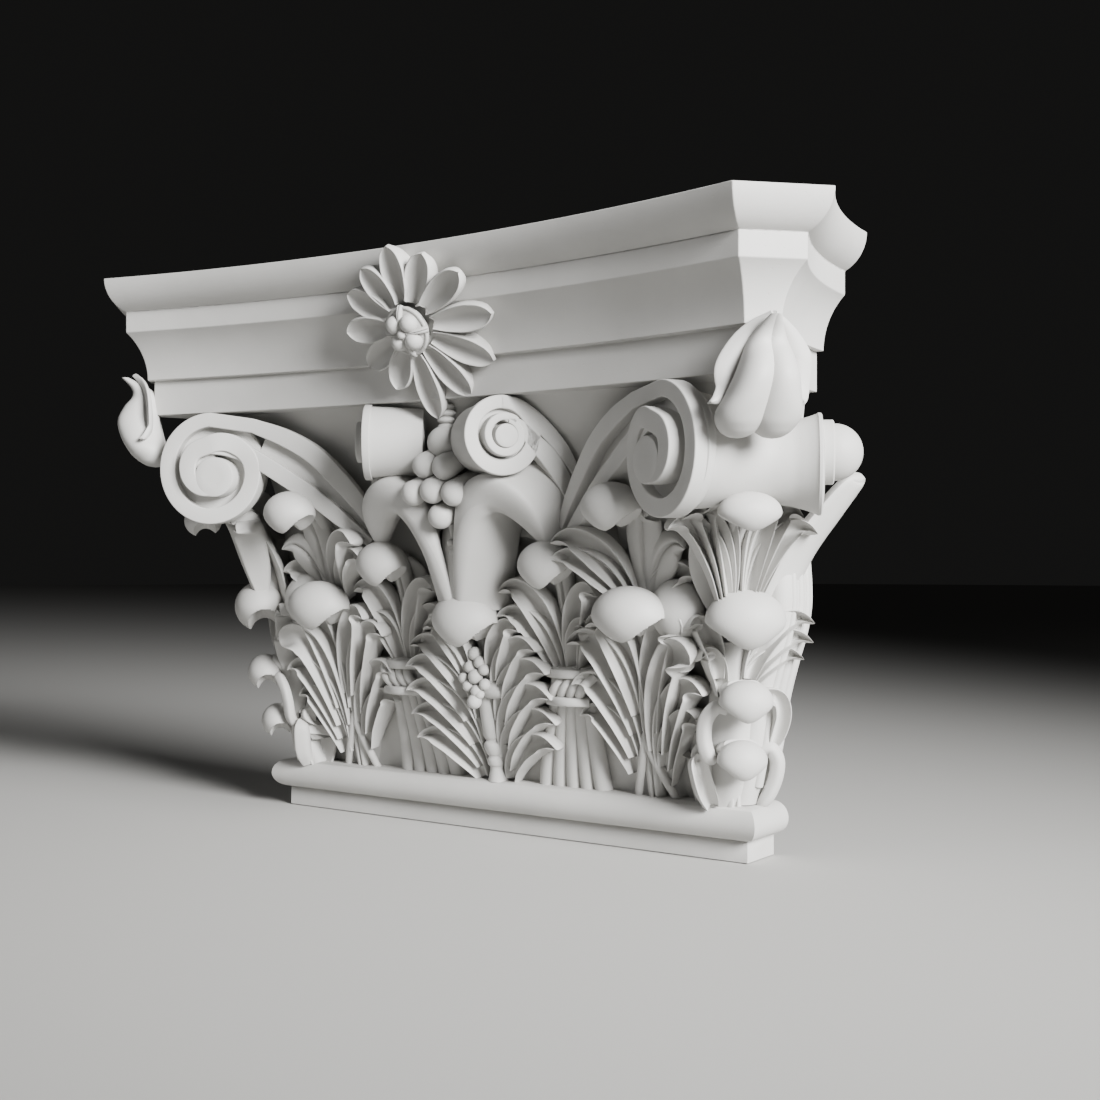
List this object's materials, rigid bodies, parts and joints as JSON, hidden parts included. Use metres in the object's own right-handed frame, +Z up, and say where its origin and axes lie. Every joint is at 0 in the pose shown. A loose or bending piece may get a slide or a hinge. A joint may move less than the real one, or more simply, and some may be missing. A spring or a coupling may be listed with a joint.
{
  "type": "pilaster capital",
  "caption": "Corinthian pilaster capital in white cast plaster, with corner volutes, acanthus leaves, a bunch of grapes and a rosette on a moulded abacus.",
  "frame": {"origin": "middle of the flat back, on the wall face, at half the capital's height", "axes": "+Z up; -Y out of the wall, towards the front with the rosette; +X to the right seen from the front"},
  "size_m": [0.4512, 0.1264, 0.298],
  "materials": {
    "cast_plaster": "matt, smooth cast gypsum plaster"
  },
  "bodies": {
    "root": {"pilaster_capital": "cast_plaster"}
  },
  "joints": []
}
